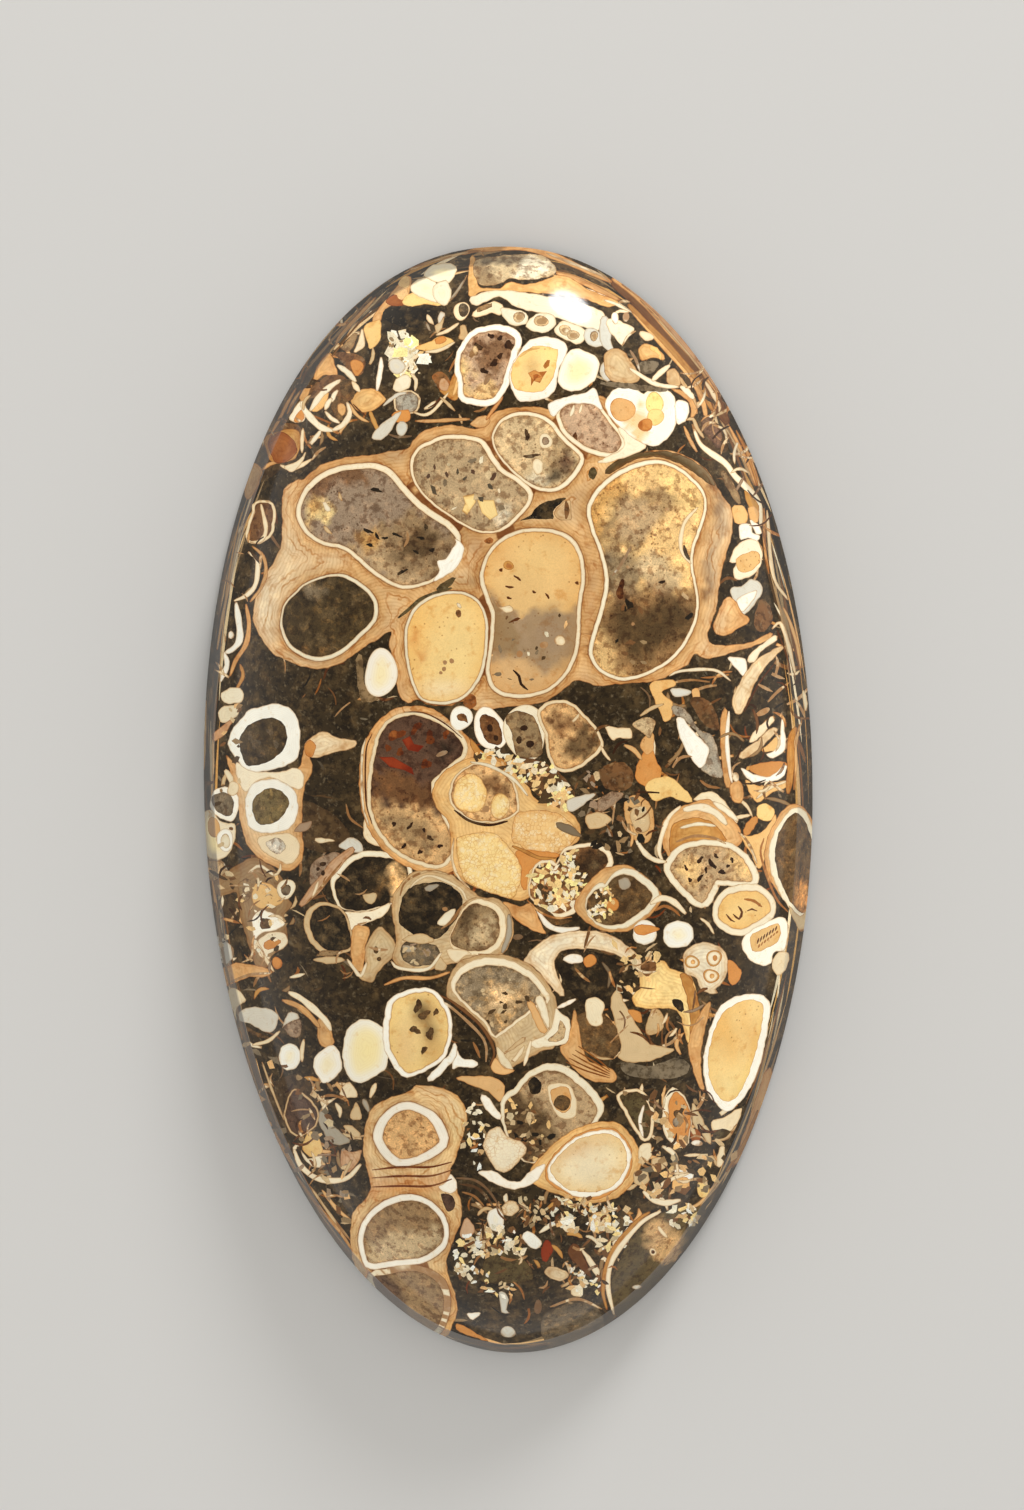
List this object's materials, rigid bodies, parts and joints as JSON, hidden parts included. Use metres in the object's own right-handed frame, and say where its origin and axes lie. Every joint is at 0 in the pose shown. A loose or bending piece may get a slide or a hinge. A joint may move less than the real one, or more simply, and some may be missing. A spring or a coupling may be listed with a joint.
{
  "type": "turritella agate cabochon",
  "caption": "Oval polished stone: a low dome showing sliced spiral fossil shells, a leaning side and a flat back to rest on or to set in a bezel.",
  "frame": {"origin": "on the flat back, under the middle of the stone's box", "axes": "+Z out of the domed face, +Y along the stone's length towards its fuller end, +X across its width"},
  "size_m": [0.029, 0.053, 0.0065],
  "materials": {
    "polished_agate": "polished, black-brown agate with cream, tan and amber fossil shells"
  },
  "bodies": {
    "root": {"agate_stone": "polished_agate"}
  },
  "joints": []
}
